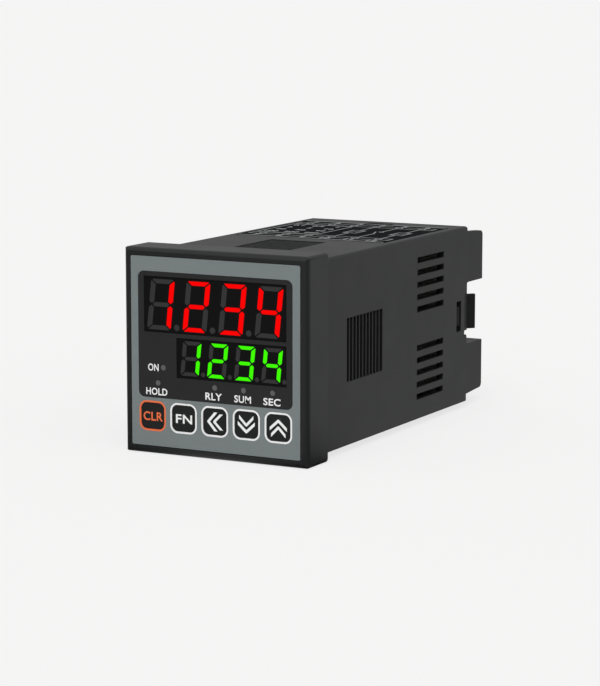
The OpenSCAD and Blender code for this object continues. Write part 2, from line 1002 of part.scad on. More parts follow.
// A latch lever: an arm out of the skirt's wall, flared into a narrower finger tab
module lever() {
    lever_t = skirt_wall - 2 * lever_relief;
    outer = skirt_w / 2 - lever_relief;
    inner = outer - lever_t;
    upright(-lever_w / 2, lever_w / 2)
        translate([inner, lever_root - past])
            square([lever_t, flare_y - lever_root + past]);
    root = outer - lever_relief;
    tab_t = lever_t - 2 * lever_relief;
    tab = [root + tab_len * sin(tab_angle), flare_y + tab_len * cos(tab_angle)];
    behind = [tab.x - tab_t * cos(tab_angle), tab.y + tab_t * sin(tab_angle)];
    upright(-tab_w / 2, tab_w / 2)
        polygon([
            [root - tab_t, flare_y - tab_t],
            [root, flare_y - tab_t],
            [root, flare_y],
            tab,
            behind,
            [root - tab_t, behind.y - (behind.x - root + tab_t) / tan(tab_angle)]
        ]);
}

// A wedge that snaps into a latch window
module hook() {
    outer = skirt_w / 2;
    upright(-hook_w / 2, hook_w / 2)
        polygon([
            [outer - skirt_wall / 2, latch_front + hook_play],
            [outer, latch_front + hook_play],
            [case_w / 2 - hook_sink, latch_front + hook_len - hook_play],
            [case_w / 2 - hook_sink, latch_front + hook_len],
            [outer - skirt_wall / 2, latch_front + hook_len]
        ]);
}

module each_terminal() {
    for (row = [0, 1], x = bay_x)
        mirror([0, 0, row])
            translate([x, 0, 0])
                children();
}

module terminal_block() {
    hole_back = bay_floor - screw_len + plate_t + washer_t - slip;
    color(mould) {
        difference() {
            union() {
                depth(case_d, base_back)
                    square([block_w, block_h], center = true);
                skirt();
                for (row = [0, 1])
                    mirror([0, 0, row])
                        terminal_row();
            }
            each_side([0, 2])
                lever_cut();
            each_terminal() {
                translate([0, 0, screw_z])
                    depth(hole_back, bay_floor + eps)
                        circle(screw_d / 2 + slip);
                translate([-leg_w / 2 - slip, case_d - past, plate_z - slip])
                    cube([leg_w + 2 * slip, bay_floor - case_d + past + eps, leg_t + 2 * slip]);
            }
        }
        each_side([0, 2])
            lever();
        each_side()
            hook();
    }
}

// Terminals

module terminal_plates() {
    color("#c9c6bd")
        each_terminal()
            difference() {
                union() {
                    translate([-plate_w / 2, bay_floor, plate_z])
                        cube([plate_w, plate_t, plate_len]);
                    translate([-leg_w / 2, end_board_front - leg_past, plate_z])
                        cube([leg_w, bay_floor + eps - end_board_front + leg_past, leg_t]);
                }
                translate([0, 0, screw_z])
                    depth(bay_floor - past, bay_floor + plate_t + past)
                        circle(screw_d / 2 + fit);
            }
}

module clamp_washers() {
    washer_front = bay_floor + plate_t;
    color("#d6d4cc")
        each_terminal()
            translate([0, 0, screw_z])
                depth(washer_front, washer_front + washer_t)
                    difference() {
                        square(plate_w, center = true);
                        circle(screw_d / 2 + fit);
                    }
}

module terminal_screws() {
    seat = bay_floor + plate_t + washer_t;
    color("#d9d9d6")
        each_terminal()
            translate([0, 0, screw_z])
                difference() {
                    union() {
                        depth(seat - screw_len, seat + eps)
                            circle(screw_d / 2);
                        depth(seat, seat + screw_head_h)
                            circle(screw_head_d / 2);
                    }
                    for (turn = [0, 90])
                        rotate([0, turn, 0])
                            translate([0, seat + screw_head_h, 0])
                                cube([screw_slot.x, 2 * screw_slot.y, screw_slot.z], center = true);
                }
}

module terminal_board() {
    color(board_green)
        difference() {
            depth(end_board_front, skirt_front)
                square(inner_w - 2 * board_gap, center = true);
            each_terminal()
                translate([-leg_w / 2 - slip, end_board_front - past, plate_z - slip])
                    cube([leg_w + 2 * slip, board_t + 2 * past, leg_t + 2 * slip]);
        }
}

// Long boards and the parts on them

module long_board() {
    translate([-board_t / 2, board_back, -long_board_h / 2])
        cube([board_t, end_board_front - board_back, long_board_h]);
}

module power_board() {
    color(board_green)
        translate([board_x, 0, 0])
            long_board();
}

module control_board() {
    color(board_green)
        translate([-board_x, 0, 0])
            long_board();
}

module board_headers() {
    color(black)
        for (side = [-1, 1])
            translate([side * (face_x - header.x / 2), board_back + header.y / 2, 0])
                cube(header, center = true);
}

// The core stands on the bobbin's foot, and its middle leg runs through the winding
core_foot = face_x - bobbin_t - fit;

module transformer_core() {
    yoke = core_leg / 2;
    window = [core_h - 2 * yoke, (core_w - core_leg) / 2 - yoke];
    color("#3a3a3c")
        difference() {
            translate([core_foot - core_h, core_y - core_w / 2, -core_t / 2])
                cube([core_h, core_w, core_t]);
            for (side = [-1, 1])
                translate([core_foot - core_h / 2, core_y + side * (core_leg + window.y) / 2, 0])
                    cube([window.x, window.y, core_t + 2 * past], center = true);
        }
}

module transformer_winding() {
    yoke = core_leg / 2;
    coil_h = core_h - 2 * yoke - 2 * fit;
    coil = [coil_h, core_leg + 2 * coil_wall, core_t + 2 * coil_wall];
    foot = [bobbin_t, core_w + 2 * bobbin_edge, core_t + 2 * coil_wall];
    middle = core_foot - core_h / 2;
    color("#b98a2e") {
        difference() {
            translate([middle, core_y, 0])
                cube(coil, center = true);
            translate([middle, core_y, 0])
                cube([core_h, core_leg + 2 * fit, core_t + 2 * fit], center = true);
        }
        translate([face_x - bobbin_t / 2, core_y, 0])
            cube(foot, center = true);
        for (side = [-1, 1])
            translate([
                middle - coil_h / 2,
                core_y - coil.y / 2,
                side * (core_t + 2 * fit + coil_wall - fit) / 2 - (coil_wall - fit) / 2
            ])
                cube([face_x - bobbin_t + eps - middle + coil_h / 2, coil.y, coil_wall - fit]);
    }
}

module capacitor(d, len, z) {
    translate([face_x - len, capacitor_y, z])
        rotate([0, 90, 0])
            cylinder(h = len, d = d);
}

module filter_capacitors() {
    color("#26282c") {
        capacitor(large_capacitor_d, large_capacitor_len, capacitor_z);
        capacitor(small_capacitor_d, small_capacitor_len, -capacitor_z);
    }
}

module output_relay() {
    color("#2c4f7c")
        translate([face_x - relay_h, relay_front, -relay_w / 2])
            cube([relay_h, relay_len, relay_w]);
}

module microcontroller() {
    controller_t = 1.4;
    color(black)
        translate([-face_x, controller_y - chip_w / 2, -chip_w / 2])
            cube([controller_t, chip_w, chip_w]);
}

module input_couplers() {
    color("#e6e3da")
        for (z = coupler_zs)
            translate([-face_x, coupler_y, z - coupler.z / 2])
                cube(coupler);
}

front_bezel();
front_overlay();
display_window();
upper_display();
upper_lit_segments();
upper_dark_segments();
lower_display();
lower_lit_segments();
lower_dark_segments();
indicator_lamps();
lamp_chips();
reset_outline();
key_outlines();
reset_key();
function_key();
left_key();
down_key();
up_key();
reset_plunger();
function_plunger();
left_plunger();
down_plunger();
up_plunger();
key_switches();
display_board();
rear_case();
wiring_label();
terminal_block();
terminal_plates();
clamp_washers();
terminal_screws();
terminal_board();
power_board();
control_board();
board_headers();
transformer_core();
transformer_winding();
filter_capacitors();
output_relay();
microcontroller();
input_couplers();
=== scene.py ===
"""Dresses the panel counter: rounded mouldings, print, lit digits, plated terminals and a pale studio."""
import math

import bmesh
import bpy
from mathutils import Matrix, Vector


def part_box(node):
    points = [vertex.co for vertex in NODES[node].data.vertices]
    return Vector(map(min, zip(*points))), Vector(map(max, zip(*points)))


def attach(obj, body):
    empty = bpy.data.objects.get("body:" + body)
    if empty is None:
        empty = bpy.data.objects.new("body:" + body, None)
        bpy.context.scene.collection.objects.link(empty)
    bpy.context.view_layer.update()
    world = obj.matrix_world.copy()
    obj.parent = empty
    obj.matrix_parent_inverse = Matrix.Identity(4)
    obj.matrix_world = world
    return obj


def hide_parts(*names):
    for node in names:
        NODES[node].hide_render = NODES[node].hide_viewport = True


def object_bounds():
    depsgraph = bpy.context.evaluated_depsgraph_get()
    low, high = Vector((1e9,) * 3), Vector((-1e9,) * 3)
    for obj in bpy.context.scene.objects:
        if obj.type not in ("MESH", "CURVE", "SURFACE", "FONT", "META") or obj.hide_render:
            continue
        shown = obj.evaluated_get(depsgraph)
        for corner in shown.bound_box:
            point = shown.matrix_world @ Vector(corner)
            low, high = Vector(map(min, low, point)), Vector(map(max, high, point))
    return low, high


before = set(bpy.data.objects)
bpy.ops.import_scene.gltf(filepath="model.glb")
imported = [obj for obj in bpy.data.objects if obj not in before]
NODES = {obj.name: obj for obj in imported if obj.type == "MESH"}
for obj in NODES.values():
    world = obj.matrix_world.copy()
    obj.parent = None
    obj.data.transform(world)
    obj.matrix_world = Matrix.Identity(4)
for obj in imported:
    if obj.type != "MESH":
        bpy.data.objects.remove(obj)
cad_low, cad_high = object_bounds()

# The scene is in metres
MM = 0.001
KEYS = ("reset", "function", "left", "down", "up")


# Colour and nodes

def linear(hex_colour):
    """An sRGB hex colour as the linear RGBA that the shaders take."""
    channels = [int(hex_colour[i:i + 2], 16) / 255 for i in (1, 3, 5)]
    return [c / 12.92 if c <= 0.04045 else ((c + 0.055) / 1.055) ** 2.4 for c in channels] + [1]


def add(tree, kind, inputs=None, **settings):
    """Adds a node. An input is a plain value, or another node's socket, which gets linked."""
    node = tree.nodes.new(kind)
    for name, value in settings.items():
        setattr(node, name, value)
    for name, value in (inputs or {}).items():
        if isinstance(value, bpy.types.NodeSocket):
            tree.links.new(value, node.inputs[name])
        else:
            node.inputs[name].default_value = value
    return node


def new_finish(name, colour, roughness, **shader_inputs):
    """A new material, its node tree and its shader, with what is the same all over set on the shader."""
    material = bpy.data.materials.new(name)
    material.use_nodes = True
    tree = material.node_tree
    shader = tree.nodes["Principled BSDF"]
    shader.inputs["Base Color"].default_value = linear(colour)
    shader.inputs["Roughness"].default_value = roughness
    for socket, value in shader_inputs.items():
        shader.inputs[socket.replace("_", " ")].default_value = value
    material.diffuse_color = linear(colour)
    return material, tree, shader


# How far the broad patches of a surface move its roughness and its brightness
GLOSS_SWING = 0.06
SHADE_SWING = 0.06


def grained(name, colour, roughness, grain, depth, mottle, **shader_inputs):
    """A finish with pits, as wide as grain, and patches of colour and gloss, all in millimetres."""
    material, tree, shader = new_finish(name, colour, roughness, **shader_inputs)
    place = add(tree, "ShaderNodeTexCoord").outputs["Object"]
    pits = add(tree, "ShaderNodeTexNoise", {"Vector": place, "Scale": 1 / (grain * MM), "Detail": 2})
    bump = add(tree, "ShaderNodeBump", {"Height": pits.outputs["Fac"], "Distance": depth * MM})
    tree.links.new(bump.outputs["Normal"], shader.inputs["Normal"])
    patches = add(tree, "ShaderNodeTexNoise", {"Vector": place, "Scale": 1 / (mottle * MM), "Detail": 4})
    gloss = add(tree, "ShaderNodeMapRange", {
        "Value": patches.outputs["Fac"],
        "To Min": roughness - GLOSS_SWING,
        "To Max": roughness + GLOSS_SWING,
    })
    tree.links.new(gloss.outputs["Result"], shader.inputs["Roughness"])
    shade = add(tree, "ShaderNodeMapRange", {
        "Value": patches.outputs["Fac"],
        "To Min": 1 - SHADE_SWING,
        "To Max": 1 + SHADE_SWING,
    })
    tint = add(tree, "ShaderNodeHueSaturation", {
        "Color": linear(colour),
        "Value": shade.outputs["Result"],
    })
    tree.links.new(tint.outputs["Color"], shader.inputs["Base Color"])
    return material


# Finishes

# Black polycarbonate out of a spark-eroded mould: a satin skin that takes its tone from the studio.
# Real pits, about 0.05 mm wide, are too fine to show, so these are drawn several times as coarse.
CASE_PLASTIC = grained("moulded_polycarbonate_case", "#161718", 0.5,
                       grain=0.35, depth=0.01, mottle=9, IOR=1.5)
BEZEL_PLASTIC = grained("moulded_polycarbonate_bezel", "#101212", 0.44,
                        grain=0.3, depth=0.008, mottle=8, IOR=1.5)
BLOCK_PLASTIC = grained("moulded_polycarbonate_block", "#131415", 0.5,
                        grain=0.35, depth=0.01, mottle=9, IOR=1.5)
# The same plastic where the mould was etched deep for grip: too coarse to shine
GRIP_PLASTIC = grained("etched_polycarbonate_grip", "#141515", 0.8,
                       grain=0.5, depth=0.03, mottle=9, Specular_IOR_Level=0.2)

# Polyester film printed on its back: an even colour under a matt skin, whose grain only spreads the light
OVERLAY_FILM = grained("printed_polyester_overlay", "#737b7b", 0.42, grain=0.12, depth=0.002, mottle=12)
WINDOW_FILM = grained("printed_polyester_window", "#282829", 0.4,
                      grain=0.12, depth=0.002, mottle=12, Specular_IOR_Level=0.15)
KEY_FILM = grained("printed_polyester_key", "#222323", 0.38,
                   grain=0.12, depth=0.002, mottle=6, Specular_IOR_Level=0.1)

# Vinyl label under a matt laminate, which shows no sheen even along the surface
LABEL_FILM = grained("laminated_vinyl_label", "#1e1f20", 0.8,
                     grain=0.2, depth=0.004, mottle=10, Specular_IOR_Level=0)

# Screen-printed ink: flat and opaque, with the slight unevenness of the screen's mesh
WHITE_INK = grained("screen_printed_ink_white", "#eceded", 0.5, grain=0.1, depth=0.002, mottle=2)
ORANGE_INK = grained("screen_printed_ink_orange", "#e86b38", 0.5, grain=0.1, depth=0.002, mottle=2)
LABEL_INK = grained("screen_printed_ink_grey", "#949696", 0.7,
                    grain=0.1, depth=0.002, mottle=2, Specular_IOR_Level=0)

# Black face of a display module, painted so that it swallows light
DISPLAY_FACE = grained("painted_epoxy_display", "#111111", 0.6,
                       grain=0.2, depth=0.002, mottle=6, Specular_IOR_Level=0.05)

# Nickel on stamped brass, and zinc on rolled steel: bright, with a fine unevenness that blurs reflections
NICKEL = grained("nickel_plated_brass", "#cfccc2", 0.3, grain=0.18, depth=0.003, mottle=3, Metallic=1)
ZINC = grained("zinc_plated_steel", "#d4d6d8", 0.28, grain=0.15, depth=0.003, mottle=2, Metallic=1)

# Inside, where only dim shapes show behind the vents: boards, coil, capacitors and moulded packages
BOARD = grained("laminated_glass_epoxy", "#5c5e58", 0.4, grain=0.4, depth=0.004, mottle=5)
FERRITE = grained("sintered_ferrite", "#38383a", 0.6, grain=0.25, depth=0.01, mottle=4)
COIL_TAPE = grained("wound_polyester_tape", "#b98a2e", 0.35, grain=0.3, depth=0.004, mottle=3)
SLEEVE = grained("shrunk_pvc_sleeve", "#24262a", 0.35, grain=0.3, depth=0.003, mottle=4)
RELAY_COVER = grained("moulded_polyester_relay", "#2a4a74", 0.45, grain=0.3, depth=0.006, mottle=5)
PACKAGE = grained("moulded_epoxy_black", "#151516", 0.55, grain=0.2, depth=0.005, mottle=3)
COUPLER = grained("moulded_epoxy_white", "#e0ddd3", 0.5, grain=0.2, depth=0.005, mottle=3)
SWITCH = grained("moulded_nylon_switch", "#1b1b1d", 0.45, grain=0.25, depth=0.005, mottle=3)
PLUNGER = grained("moulded_acetal_plunger", "#8a3a2c", 0.35, grain=0.25, depth=0.004, mottle=3)
CHIP = grained("fired_ceramic_lamp_chip", "#e4dec9", 0.5, grain=0.2, depth=0.003, mottle=2)

# Width of a speck of diffusing powder in millimetres, and how far the specks dim and brighten the resin
POWDER = 0.25
POWDER_DIM = 0.93
POWDER_BRIGHT = 1.03


def cast_resin(name, colour, glow):
    """Cast resin with diffusing powder: unlit it is a dull grey, lit it glows with a slight grain."""
    surface = "#000000" if glow else colour
    material, tree, shader = new_finish(name, surface, roughness=0.5, Specular_IOR_Level=0.05)
    place = add(tree, "ShaderNodeTexCoord").outputs["Object"]
    powder = add(tree, "ShaderNodeTexNoise", {"Vector": place, "Scale": 1 / (POWDER * MM), "Detail": 3})
    level = add(tree, "ShaderNodeMapRange", {
        "Value": powder.outputs["Fac"],
        "To Min": POWDER_DIM,
        "To Max": POWDER_BRIGHT,
    })
    tint = add(tree, "ShaderNodeHueSaturation", {
        "Color": linear(colour),
        "Value": level.outputs["Result"],
    })
    tree.links.new(tint.outputs["Color"], shader.inputs["Emission Color" if glow else "Base Color"])
    shader.inputs["Emission Strength"].default_value = 1 if glow else 0
    return material


RED_RESIN = cast_resin("cast_epoxy_red", "#ff0000", True)
RED_RIM = cast_resin("cast_epoxy_red_rim", "#9c0000", True)
GREEN_RESIN = cast_resin("cast_epoxy_green", "#40ff00", True)
GREEN_RIM = cast_resin("cast_epoxy_green_rim", "#289c00", True)
DARK_RESIN = cast_resin("cast_epoxy_unlit", "#353535", False)
LAMP_LENS = cast_resin("cast_acrylic_light_pipe", "#5e5e5e", False)

NODE_FINISH = {
    "front_overlay": OVERLAY_FILM, "display_window": WINDOW_FILM, "wiring_label": LABEL_FILM,
    "upper_display": DISPLAY_FACE, "lower_display": DISPLAY_FACE,
    "upper_dark_segments": DARK_RESIN, "lower_dark_segments": DARK_RESIN,
    "indicator_lamps": LAMP_LENS, "lamp_chips": CHIP,
    "reset_outline": ORANGE_INK, "key_outlines": WHITE_INK,
    "key_switches": SWITCH, "display_board": BOARD, "terminal_board": BOARD,
    "power_board": BOARD, "control_board": BOARD, "board_headers": PACKAGE,
    "transformer_core": FERRITE, "transformer_winding": COIL_TAPE,
    "filter_capacitors": SLEEVE, "output_relay": RELAY_COVER,
    "microcontroller": PACKAGE, "input_couplers": COUPLER,
}
for key in KEYS:
    NODE_FINISH[key + "_plunger"] = PLUNGER


def dress(thing, material):
    """Gives an object one material, in place of what it had."""
    thing.data.materials.clear()
    thing.data.materials.append(material)


for node_name, material in NODE_FINISH.items():
    dress(NODES[node_name], material)


# Mouldings and metal, with the edges that tools leave

# Points of a CAD mesh that lie closer than this are one point
SAME_POINT = 0.002 * MM
# Faces that meet at a smaller angle than this are one face
FLAT = math.radians(1)
# An edge that bends more than this is sharp
SHARP = math.radians(35)


def whole_faces(node_name):
    """A CAD node's mesh to work on, its triangles joined to whole faces."""
    shape = bmesh.new()
    shape.from_mesh(NODES[node_name].data)
    bmesh.ops.remove_doubles(shape, verts=shape.verts, dist=SAME_POINT)
    bmesh.ops.dissolve_limit(shape, angle_limit=FLAT, verts=shape.verts, edges=shape.edges)
    shape.normal_update()
    return shape


def new_piece(name, shape):
    """Turns a worked mesh into an object of the scene."""
    mesh = bpy.data.meshes.new(name)
    shape.to_mesh(mesh)
    shape.free()
    piece = bpy.data.objects.new(name, mesh)
    bpy.context.scene.collection.objects.link(piece)
    return piece


def in_place_of(node_name, name, shape, body="housing"):
    """Turns a worked mesh into a piece that stands for its CAD node."""
    piece = new_piece(name, shape)
    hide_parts(node_name)
    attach(piece, body)
    return piece


def softened(name, node_name, edge, material, body="housing"):
    """Stands for a CAD node with the same form, its sharp edges rounded by a radius in millimetres."""
    piece = in_place_of(node_name, name, whole_faces(node_name), body)
    piece.data.shade_smooth()
    bevel = piece.modifiers.new("rounded edges", "BEVEL")
    bevel.width = edge * MM
    bevel.segments = 2
    bevel.limit_method = "ANGLE"
    bevel.angle_limit = SHARP
    bevel.use_clamp_overlap = False
    piece.modifiers.new("flat faces", "WEIGHTED_NORMAL")
    even = piece.modifiers.new("no empty faces", "TRIANGULATE")
    even.ngon_method = "BEAUTY"
    even.min_vertices = 5
    even.keep_custom_normals = True
    dress(piece, material)
    return piece


MOULDED_EDGE = 0.08
BLOCK_EDGE = 0.09
PLATE_EDGE = 0.08
WASHER_EDGE = 0.1
SCREW_EDGE = 0.15

softened("bezel_moulding", "front_bezel", MOULDED_EDGE, BEZEL_PLASTIC)
softened("case_moulding", "rear_case", MOULDED_EDGE, CASE_PLASTIC)
block = softened("block_moulding", "terminal_block", BLOCK_EDGE, BLOCK_PLASTIC)
softened("stamped_plates", "terminal_plates", PLATE_EDGE, NICKEL)
softened("stamped_washers", "clamp_washers", WASHER_EDGE, NICKEL)
softened("driven_screws", "terminal_screws", SCREW_EDGE, ZINC)
for key in KEYS:
    softened(key + "_cap", key + "_key", MOULDED_EDGE, KEY_FILM, key + "_button")

# Behind the case, the flared finger tabs are all of the block that leans between sideways and back
LEANING = 0.5
block.data.materials.append(GRIP_PLASTIC)
case_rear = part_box("rear_case")[1].y
for face in block.data.polygons:
    leans = abs(face.normal.x) > LEANING and abs(face.normal.y) > LEANING
    if leans and face.center.y > case_rear:
        face.material_index = 1


# Lit segments, each with a dimmer rim where the resin is shaded by its cell's wall

RIM_WIDTH = 0.05 * MM
# A face whose normal has a lower Y than this is a front
FRONT_NORMAL = -0.9


def glowing(name, node_name, core, rim):
    """Stands for a CAD node of lit segments: the same castings, with a rim on the front of each."""
    shape = whole_faces(node_name)
    fronts = [face for face in shape.faces if face.normal.y < FRONT_NORMAL]
    for face in bmesh.ops.inset_individual(shape, faces=fronts, thickness=RIM_WIDTH)["faces"]:
        face.material_index = 1
    piece = in_place_of(node_name, name, shape)
    for material in (core, rim):
        piece.data.materials.append(material)


glowing("red_digits", "upper_lit_segments", RED_RESIN, RED_RIM)
glowing("green_digits", "lower_lit_segments", GREEN_RESIN, GREEN_RIM)


# Print: flat drawings in millimetres, as thin as ink, each on the body that carries it

INK_THICKNESS = 0.02 * MM
# Points of a drawing that lie closer than this are one point
SAME_INK = 0.004 * MM
UPRIGHT = Matrix.Rotation(math.pi / 2, 4, "X")
LETTER_SPACING = 1.06
LETTER_CURVE_STEPS = 5


def facing_front(node_name):
    """Turns a drawing upright, on the front face of a node."""
    return Matrix.Translation((0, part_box(node_name)[0].y - INK_THICKNESS, 0)) @ UPRIGHT


def facing_rear(node_name):
    """Turns a drawing upright on the rear face of a node, to be read from behind."""
    about = Matrix.Rotation(math.pi, 4, "Z")
    return Matrix.Translation((0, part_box(node_name)[1].y + INK_THICKNESS, 0)) @ about @ UPRIGHT


def facing_up(node_name):
    """Lays a drawing flat on the top face of a node."""
    return Matrix.Translation((0, 0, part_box(node_name)[1].z + INK_THICKNESS))


def printed(piece, place, ink, body="housing"):
    """Lays a flat drawing on its surface and lets it ride."""
    piece.matrix_world = place
    dress(piece, ink)
    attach(piece, body)


def inked(name, outlines):
    """A thin layer over the outlines, with walls only where the ink ends."""
    shape = bmesh.new()
    for outline in outlines:
        shape.faces.new([shape.verts.new((x * MM, y * MM, 0)) for x, y in outline])
    bmesh.ops.remove_doubles(shape, verts=shape.verts, dist=SAME_INK)
    bmesh.ops.dissolve_limit(shape, angle_limit=FLAT, verts=shape.verts, edges=shape.edges)
    grown = bmesh.ops.extrude_face_region(shape, geom=shape.faces[:])["geom"]
    lower = [part for part in grown if isinstance(part, bmesh.types.BMVert)]
    bmesh.ops.translate(shape, vec=(0, 0, -INK_THICKNESS), verts=lower)
    bmesh.ops.recalc_face_normals(shape, faces=shape.faces)
    return new_piece(name, shape)


def lettered(word, boldness):
    """A word's faces as lists of points, and its lower left and upper right corners, in font units."""
    curve = bpy.data.curves.new(word, "FONT")
    curve.body = word
    curve.offset = boldness
    curve.space_character = LETTER_SPACING
    curve.resolution_u = LETTER_CURVE_STEPS
    writing = bpy.data.objects.new(word, curve)
    bpy.context.scene.collection.objects.link(writing)
    bpy.context.view_layer.update()
    drawn = writing.evaluated_get(bpy.context.evaluated_depsgraph_get())
    mesh = bpy.data.meshes.new_from_object(drawn)
    bpy.data.objects.remove(writing)
    faces = [[mesh.vertices[i].co.xy for i in face.vertices] for face in mesh.polygons]
    points = [point for face in faces for point in face]
    low = Vector((min(p.x for p in points), min(p.y for p in points)))
    high = Vector((max(p.x for p in points), max(p.y for p in points)))
    return faces, low, high


def word_in(word, left, right, foot, height, boldness):
    """A word's outlines, stretched to fill the given box."""
    faces, low, high = lettered(word, boldness)
    wide = (right - left) / (high.x - low.x)
    tall = height / (high.y - low.y)
    return [[(left + (p.x - low.x) * wide, foot + (p.y - low.y) * tall) for p in f] for f in faces]


def word_at(word, x, y, height, boldness):
    """A word's outlines, centred on a point, with the font's own proportions."""
    faces, low, high = lettered(word, boldness)
    scale = height / (high.y - low.y)
    middle = (low + high) / 2
    return [[(x + (p.x - middle.x) * scale, y + (p.y - middle.y) * scale) for p in f] for f in faces]


def strip(points, width, closed=False):
    """A line of even width through the points, mitred at its bends, as one outline for each stretch."""
    path = [Vector(point) for point in points]
    ways = [(end - start).normalized() for start, end in zip(path, path[1:] + path[:1])]
    pairs = []
    for i, point in enumerate(path):
        before = ways[i - 1] if closed or i else ways[0]
        after = ways[i] if closed or i < len(path) - 1 else ways[i - 1]
        mean = (before + after).normalized()
        side = Vector((-mean.y, mean.x)) * width / 2 / mean.dot(after)
        pairs.append((point - side, point + side))
    if closed:
        pairs.append(pairs[0])
    return [[start[0], end[0], end[1], start[1]] for start, end in zip(pairs, pairs[1:])]


# Generic words beside the lamps, each from its left end to its right end, and its foot
FRONT_BOLDNESS = 0.02
LAMP_WORD_HEIGHT = 1.67
LAMP_WORD_FOOT = -10.1
POWER_WORD_FOOT = -4.5
for name, word, left, right, foot in (
    ("print_power", "ON", -17.6, -14.77, POWER_WORD_FOOT),
    ("print_hold", "HOLD", -18.17, -12.5, LAMP_WORD_FOOT),
    ("print_output", "RLY", -2.4, 1.93, LAMP_WORD_FOOT),
    ("print_sum", "SUM", 5.17, 9.5, LAMP_WORD_FOOT),
    ("print_seconds", "SEC", 12.67, 17.07, LAMP_WORD_FOOT),
):
    writing = inked(name, word_in(word, left, right, foot, LAMP_WORD_HEIGHT, FRONT_BOLDNESS))
    printed(writing, facing_front("display_window"), WHITE_INK)

# Generic words on two keys, each from its left end to its right end
KEY_WORD_HEIGHT = 2.1
KEY_WORD_FOOT = -16.2
for name, word, left, right, ink, slot, body in (
    ("print_clear", "CLR", -18.95, -13.8, ORANGE_INK, "orange_print", "reset_button"),
    ("print_function", "FN", -10.25, -5.95, WHITE_INK, "white_print", "function_button"),
):
    writing = inked(name, word_in(word, left, right, KEY_WORD_FOOT, KEY_WORD_HEIGHT, FRONT_BOLDNESS))
    printed(writing, facing_front("front_overlay"), ink, body)

# Double arrows on three keys: a blunt chevron with a smaller one behind it
ARROW_STROKE = 0.84
ARROW_STEP = 1.52
ARROW_REACH = 2.05
OUTER_ARM = Vector((1.95, 2.2))
INNER_ARM = Vector((1.88, 1.85))
TIP_RADIUS = 0.35
TIP_STEPS = 6


def chevron(tip, arm):
    """A left-pointing chevron with a round tip at a given place along the arrow."""
    slope = math.atan2(arm.y, arm.x)
    middle = tip + TIP_RADIUS / math.sin(slope)
    turns = [math.pi / 2 + slope + (math.pi - 2 * slope) * i / TIP_STEPS for i in range(TIP_STEPS + 1)]
    nose = [(middle + TIP_RADIUS * math.cos(t), TIP_RADIUS * math.sin(t)) for t in turns]
    end = tip + arm.x
    return nose + [
        (end, -arm.y), (end + ARROW_STROKE, -arm.y),
        (tip + ARROW_STROKE, 0),
        (end + ARROW_STROKE, arm.y), (end, arm.y),
    ]


ARROWS = (chevron(-ARROW_REACH, OUTER_ARM), chevron(ARROW_STEP - ARROW_REACH, INNER_ARM))
for key, turn in (("left", 0), ("down", 90), ("up", -90)):
    low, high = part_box(key + "_key")
    middle = (low + high) / 2 / MM
    spin = Matrix.Rotation(math.radians(turn), 2)
    placed = [[spin @ Vector(p) + Vector((middle.x, middle.z)) for p in arrow] for arrow in ARROWS]
    printed(inked("print_" + key + "_arrow", placed), facing_front("front_overlay"),
            WHITE_INK, key + "_button")

# Wiring label: a rule along the front and the rear, and two rows of numbered terminals with their leads
TERMINALS = 6
TERMINAL_PITCH = 6.3
TERMINAL_RADIUS = 0.85
TERMINAL_SIDES = 16
ROW_IN = 5.8
ROW_HALF = 1.7
NUMBER_OUT = 3.4
NUMBER_HEIGHT = 2.3
LEAD = 2
LABEL_BOLDNESS = 0.04
LABEL_LINE = 0.36
RULE_LINE = 0.6
RULE_IN = 0.45
label_low, label_high = (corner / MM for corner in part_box("wiring_label"))
rear_row, front_row = label_high.y - ROW_IN, label_low.y + ROW_IN
pitches_off = [i - (TERMINALS - 1) / 2 for i in range(TERMINALS)]
columns = [off * TERMINAL_PITCH for off in pitches_off]


def box_outline(left, right, front, rear):
    """The four sides of a rectangle, drawn as lines."""
    return strip([(left, front), (right, front), (right, rear), (left, rear)], LABEL_LINE, True)


def ring(x, y, radius, sides):
    """A circle, drawn as a line with a number of sides."""
    turns = [2 * math.pi * i / sides for i in range(sides)]
    return strip([(x + radius * math.cos(t), y + radius * math.sin(t)) for t in turns], LABEL_LINE, True)


diagram = []
for y in (label_low.y + RULE_IN, label_high.y - RULE_IN):
    diagram += strip([(label_low.x + RULE_IN, y), (label_high.x - RULE_IN, y)], RULE_LINE)
row_left, row_right = columns[0] - TERMINAL_PITCH / 2, columns[-1] + TERMINAL_PITCH / 2
for y in (rear_row, front_row):
    diagram += box_outline(row_left, row_right, y - ROW_HALF, y + ROW_HALF)
for i, x in enumerate(columns):
    for number, y, out in ((i + 1, rear_row, 1), (i + 1 + TERMINALS, front_row, -1)):
        lead_start = y - out * TERMINAL_RADIUS
        lead_end = y - out * (TERMINAL_RADIUS + LEAD)
        diagram += ring(x, y, TERMINAL_RADIUS, TERMINAL_SIDES)
        diagram += word_at(str(number), x, y + out * NUMBER_OUT, NUMBER_HEIGHT, LABEL_BOLDNESS)
        diagram += strip([(x, lead_start), (x, lead_end)], LABEL_LINE)

# Between the rows, a table of plain numbers at the left
TABLE = (("0.1", "0.5", "1"), ("2", "5", "10"), ("20", "50", "99"), ("100", "500", "999"))
TABLE_LEFT, TABLE_RIGHT = -19, -2.4
TABLE_NUMBER_HEIGHT = 2
field_rear, field_front = rear_row - TERMINAL_RADIUS - LEAD, front_row + TERMINAL_RADIUS + LEAD
row_step = (field_rear - field_front) / len(TABLE)
column_step = (TABLE_RIGHT - TABLE_LEFT) / len(TABLE[0])
diagram += box_outline(TABLE_LEFT, TABLE_RIGHT, field_front, field_rear)
for row, numbers in enumerate(TABLE):
    y = field_rear - (row + 0.5) * row_step
    for column, number in enumerate(numbers):
        x = TABLE_LEFT + (column + 0.5) * column_step
        diagram += word_at(number, x, y, TABLE_NUMBER_HEIGHT, LABEL_BOLDNESS)

